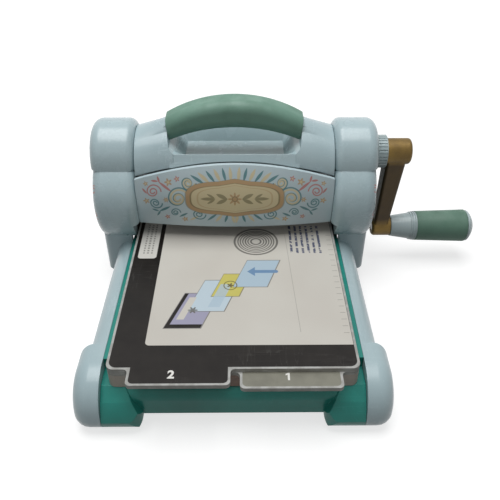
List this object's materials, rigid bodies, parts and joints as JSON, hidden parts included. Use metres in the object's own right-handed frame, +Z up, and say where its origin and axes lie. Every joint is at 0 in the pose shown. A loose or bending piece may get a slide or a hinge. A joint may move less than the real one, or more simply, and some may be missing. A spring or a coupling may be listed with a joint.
{
  "type": "manual die cutting machine",
  "caption": "Hand-cranked bench machine that rolls a sliding platform stack between two steel rollers to cut or emboss sheets.",
  "frame": {"origin": "on the bench under the machine, midway between the side towers, straight below the roller axes", "axes": "+X to the crank side, +Y from the front to the back along the platform's travel, +Z up"},
  "size_m": [0.3105, 0.373, 0.1477],
  "materials": {
    "teal_plastic": "satin teal moulding",
    "rail_blue_plastic": "satin pale blue moulding",
    "tower_blue_plastic": "satin pale blue moulding",
    "housing_blue_plastic": "satin pale blue moulding",
    "collar_blue_plastic": "satin pale blue moulding",
    "green_soft_grip": "matte sage green soft touch",
    "printed_panel": "pale blue with a printed ornament",
    "frame_steel": "dark satin",
    "bright_steel": "bright zinc",
    "roller_steel": "ground",
    "gear_steel": "cut teeth, oiled",
    "bronze_bush": "sintered",
    "bronze_paint": "satin gold brown",
    "board_plastic": "fine matte brown grey",
    "grey_leaf_plastic": "matte light grey",
    "printed_leaf_plastic": "printed, clear gloss",
    "foot_rubber": "matte black"
  },
  "bodies": {
    "machine": {"base_tray": "teal_plastic", "right_side_rail": "rail_blue_plastic", "left_side_rail": "rail_blue_plastic", "right_tower_cover": "tower_blue_plastic", "left_tower_cover": "tower_blue_plastic", "upper_housing": "housing_blue_plastic", "handle_grip": "green_soft_grip", "front_panel": "printed_panel", "rear_panel": "printed_panel", "left_side_plate": "frame_steel", "right_side_plate": "frame_steel", "tie_rods": "bright_steel", "tie_rod_nuts": "bright_steel", "cover_screws": "bright_steel", "foot_screws": "bright_steel", "roller_bushes": "bronze_bush", "crank_bush": "bronze_bush", "rubber_feet": "foot_rubber", "crank_collar": "collar_blue_plastic"},
    "crank": {"crank_shaft": "bright_steel", "drive_pinion": "gear_steel", "crank_arm": "bronze_paint", "crank_screw": "bright_steel", "grip_spindle": "bright_steel"},
    "grip": {"grip_core": "collar_blue_plastic", "grip_sleeve": "green_soft_grip", "grip_end_cap": "collar_blue_plastic"},
    "upper_roller_body": {"upper_roller": "roller_steel", "roller_gear": "gear_steel", "upper_roller_clips": "bright_steel"},
    "lower_roller_body": {"lower_roller": "roller_steel", "lower_roller_clips": "bright_steel"},
    "platform": {"platform_board": "board_plastic", "hinge_pin": "bright_steel"},
    "leaf_1_body": {"leaf_1": "grey_leaf_plastic"},
    "leaf_2_body": {"leaf_2": "printed_leaf_plastic"}
  },
  "joints": [
    {"name": "crank_spin", "type": "hinge", "parent": "machine", "child": "crank", "pos_m": [0.12, 0, 0.103], "axis": [1, 0, 0], "continuous": true},
    {"name": "grip_spin", "type": "hinge", "parent": "crank", "child": "grip", "pos_m": [0.17, 0, 0.032], "axis": [1, 0, 0], "continuous": true},
    {"name": "upper_roller_spin", "type": "hinge", "parent": "machine", "child": "upper_roller_body", "pos_m": [0, 0, 0.0685], "axis": [1, 0, 0], "continuous": true},
    {"name": "lower_roller_spin", "type": "hinge", "parent": "machine", "child": "lower_roller_body", "pos_m": [0, 0, 0.0183], "axis": [1, 0, 0], "continuous": true},
    {"name": "platform_slide", "type": "slide", "parent": "machine", "child": "platform", "axis": [0, 1, 0], "range_m": [-0.15, 0.15]},
    {"name": "leaf_1_lift", "type": "hinge", "parent": "platform", "child": "leaf_1_body", "pos_m": [0, 0.1639, 0.0357], "axis": [-1, 0, 0], "range_deg": [0, 0.55]},
    {"name": "leaf_2_lift", "type": "hinge", "parent": "leaf_1_body", "child": "leaf_2_body", "pos_m": [0, 0.1639, 0.0357], "axis": [-1, 0, 0], "range_deg": [0, 0.55]}
  ],
  "couplings": [
    {"joint": "upper_roller_spin", "follows": "crank_spin", "ratio": -0.4375}
  ]
}
